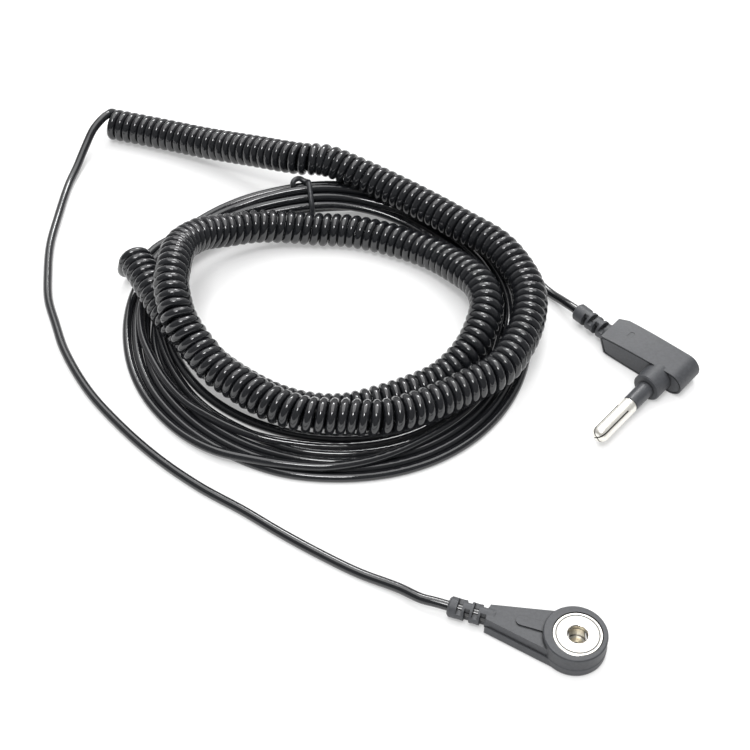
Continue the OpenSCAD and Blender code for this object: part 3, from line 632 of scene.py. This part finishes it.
def make_metal(name, colour, rough, scratch, metallic=1.0, ring=None):
    material, tree, shader = new_material(name)
    link = tree.links.new
    shader.inputs["Metallic"].default_value = metallic
    place = tree.nodes.new("ShaderNodeTexCoord").outputs["Object"]
    cloud = add(tree, "ShaderNodeTexNoise", Scale=220.0, Detail=3.0)
    link(place, cloud.inputs["Vector"])
    blend = tree.nodes.new("ShaderNodeMix")
    blend.data_type = "RGBA"
    blend.inputs["A"].default_value = tuple(0.93 * c for c in colour[:3]) + (1,)
    blend.inputs["B"].default_value = tuple(colour[:3]) + (1,)
    link(ramp(tree, cloud.outputs["Fac"], 0.35, 0.65, 0, 1), blend.inputs["Factor"])
    # Painted shade darkens the metal's grooves and slits.
    plate_and_shade = crease_shaded(tree, blend.outputs["Result"], 0.5 * MM, 0.03)
    # A thin ring of painted shade in the cap's groove.
    if ring:
        plate_and_shade = ring_shaded(tree, place, plate_and_shade, *ring)
    link(plate_and_shade, shader.inputs["Base Color"])
    link(ramp(tree, cloud.outputs["Fac"], 0.3, 0.7, rough, rough + 0.08),
         shader.inputs["Roughness"])
    fine = add(tree, "ShaderNodeTexNoise", Scale=scratch, Detail=2.0)
    link(place, fine.inputs["Vector"])
    bump(tree, shader, fine.outputs["Fac"], 0.06, 0.00003)
    return material


nickel = make_metal("nickel", (0.8, 0.78, 0.74), 0.2, 900.0)
pin_nickel = make_metal("pin_nickel", (0.86, 0.84, 0.78), 0.3, 900.0, 0.8)
# The line of painted shade in the cap's pressed groove: its radius, width and darkest level.
CAP_GROOVE_R = 4.42 * MM
CAP_GROOVE_W = 0.34 * MM
CAP_GROOVE_SHADE_LEVEL = 0.27
cap_nickel = make_metal("cap_nickel", (0.8, 0.78, 0.74), 0.2, 900.0,
                        ring=(CAP_GROOVE_R, CAP_GROOVE_W, CAP_GROOVE_SHADE_LEVEL))
bowl_nickel = make_metal("bowl_nickel", (0.78, 0.75, 0.68), 0.3, 900.0)
brass = make_metal("brass", (0.74, 0.66, 0.5), 0.28, 900.0)
spring_steel = make_metal("spring_steel", (0.62, 0.61, 0.6), 0.25, 1400.0)
conductor = make_metal("conductor", (0.82, 0.5, 0.33), 0.3, 1400.0)
dress(nickel, "ring_terminal", "crimp_sleeve", "solder_tag")
dress(cap_nickel, "socket_cap")
dress(pin_nickel, "contact_pin")
dress(bowl_nickel, "socket_base")
dress(brass, "eyelet")
dress(spring_steel, "spring_left", "spring_right", "resistor_leads")
dress(conductor, "snap_conductor", "plug_conductor")


# ---- The table and the light ----
# A white table top with soft light from above, and two lamps for the sharp glints.
def make_table_top():
    material, tree, shader = new_material("table_top")
    link = tree.links.new
    shader.inputs["Base Color"].default_value = (0.6, 0.6, 0.6, 1)
    shader.inputs["Roughness"].default_value = 1
    shader.inputs["Specular IOR Level"].default_value = 0
    path = tree.nodes.new("ShaderNodeLightPath")
    seen = tree.nodes.new("ShaderNodeMath")
    seen.operation = "MAXIMUM"
    link(path.outputs["Is Camera Ray"], seen.inputs[0])
    link(path.outputs["Is Glossy Ray"], seen.inputs[1])
    glow = tree.nodes.new("ShaderNodeEmission")
    glow.inputs["Color"].default_value = (1, 1, 1, 1)
    away = tree.nodes.new("ShaderNodeVectorMath")
    away.operation = "LENGTH"
    link(tree.nodes.new("ShaderNodeTexCoord").outputs["Object"], away.inputs[0])
    level = tree.nodes.new("ShaderNodeMath")
    level.operation = "MULTIPLY"
    link(seen.outputs[0], level.inputs[0])
    link(ramp(tree, away.outputs["Value"], 0.25, 0.9, 0.28, 1), level.inputs[1])
    link(level.outputs[0], glow.inputs["Strength"])
    both = tree.nodes.new("ShaderNodeAddShader")
    link(shader.outputs[0], both.inputs[0])
    link(glow.outputs[0], both.inputs[1])
    link(both.outputs[0], tree.nodes["Material Output"].inputs["Surface"])
    return material


TABLE_HALF = 4
table_mesh = bpy.data.meshes.new("table_top")
table_mesh.from_pydata([(x * TABLE_HALF, y * TABLE_HALF, -0.00002)
                        for x, y in ((-1, -1), (1, -1), (1, 1), (-1, 1))], [], [(0, 1, 2, 3)])
table_mesh.materials.append(make_table_top())
table = bpy.data.objects.new("table_top", table_mesh)
bpy.context.collection.objects.link(table)

world = bpy.data.worlds.new("room")
bpy.context.scene.world = world
world.use_nodes = True
room = world.node_tree
sky = room.nodes["Background"]
sky.inputs["Color"].default_value = (1, 1, 1, 1)
link = room.links.new
light_path = room.nodes.new("ShaderNodeLightPath")
way = room.nodes.new("ShaderNodeTexCoord").outputs["Generated"]
axes = room.nodes.new("ShaderNodeSeparateXYZ")
link(way, axes.inputs[0])


def level_of(axis, low, high, dark, light):
    return ramp(room, axes.outputs[axis], low, high, dark, light)


def picked(when, other, chosen):
    """The chosen level for rays of one kind, and the other for the rest."""
    node = room.nodes.new("ShaderNodeMix")
    link(when, node.inputs["Factor"])
    link(other, node.inputs["A"])
    if hasattr(chosen, "is_output"):
        link(chosen, node.inputs["B"])
    else:
        node.inputs["B"].default_value = chosen
    return node.outputs["Result"]


# Soft light from the near side; what the wire's gloss mirrors is darker there
lit = level_of("Y", -1, 0.6, 1.4, 0.1)
mirrored = level_of("Y", -0.2, 0.8, 0.2, 0.7)
strength = picked(light_path.outputs["Is Glossy Ray"], lit, mirrored)
strength = picked(light_path.outputs["Is Camera Ray"], strength, 1.0)
strength = picked(light_path.outputs["Is Transmission Ray"], strength, 1.0)
link(strength, sky.inputs["Strength"])

LOOK_AT = Vector((-0.045, 0.08, 0))
LAMP_REACH = 0.9


def lamp(name, back, aside, size, watts):
    """A flat lamp, tilted back and aside by degrees from straight above."""
    place = LOOK_AT + LAMP_REACH * Vector((math.sin(math.radians(aside)),
                                           math.sin(math.radians(back)),
                                           math.cos(math.radians(back)))).normalized()
    data = bpy.data.lights.new(name, "AREA")
    data.shape = "RECTANGLE"
    data.size, data.size_y = size
    data.energy = watts
    item = bpy.data.objects.new(name, data)
    item.location = place
    item.rotation_euler = (LOOK_AT - place).to_track_quat("-Z", "Y").to_euler()
    bpy.context.collection.objects.link(item)


lamp("softbox", 20, 0, (1.0, 1.1), 8.8)
lamp("glint_behind", 44, 6, (0.22, 0.14), 2.3)
lamp("glint_front", -22, -6, (0.25, 0.18), 3.2)

bpy.context.scene.view_settings.view_transform = "Standard"
